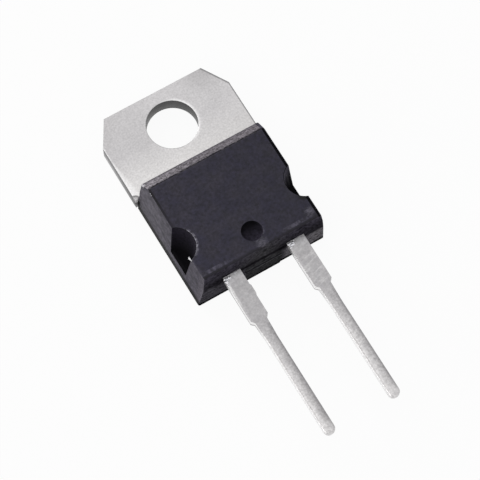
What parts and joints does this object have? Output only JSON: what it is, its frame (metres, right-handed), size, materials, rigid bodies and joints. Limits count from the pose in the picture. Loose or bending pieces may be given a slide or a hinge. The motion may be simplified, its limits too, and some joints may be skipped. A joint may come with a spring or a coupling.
{
  "type": "switching diode",
  "caption": "Power diode lying flat: bevelled black moulded body, metal tab with a screw hole, and flat parallel leads that step from wide to thin.",
  "frame": {"origin": "centre of the bounding box's bottom face, on the plane of the tab's back", "axes": "+X across the package, to the right when the marked face is seen with the tab up (anode side); +Y towards the tab's free end; +Z out of the marked face"},
  "size_m": [0.0104, 0.0286, 0.0045],
  "materials": {
    "moulding_epoxy": "black glass-filled epoxy, satin from the mould tool",
    "plated_header": "matte nickel and tin plating over copper strip",
    "plated_lead": "matte tin plating over copper strip",
    "silicon": "polished silicon with a metallised top",
    "solder": "reflowed solder",
    "bond_aluminium": "bright drawn wire"
  },
  "bodies": {
    "root": {"mould_body": "moulding_epoxy", "header_and_cathode_lead": "plated_header", "anode_lead": "plated_lead", "silicon_die": "silicon", "die_attach_solder": "solder", "bond_wire_1": "bond_aluminium", "bond_wire_2": "bond_aluminium"}
  },
  "joints": []
}
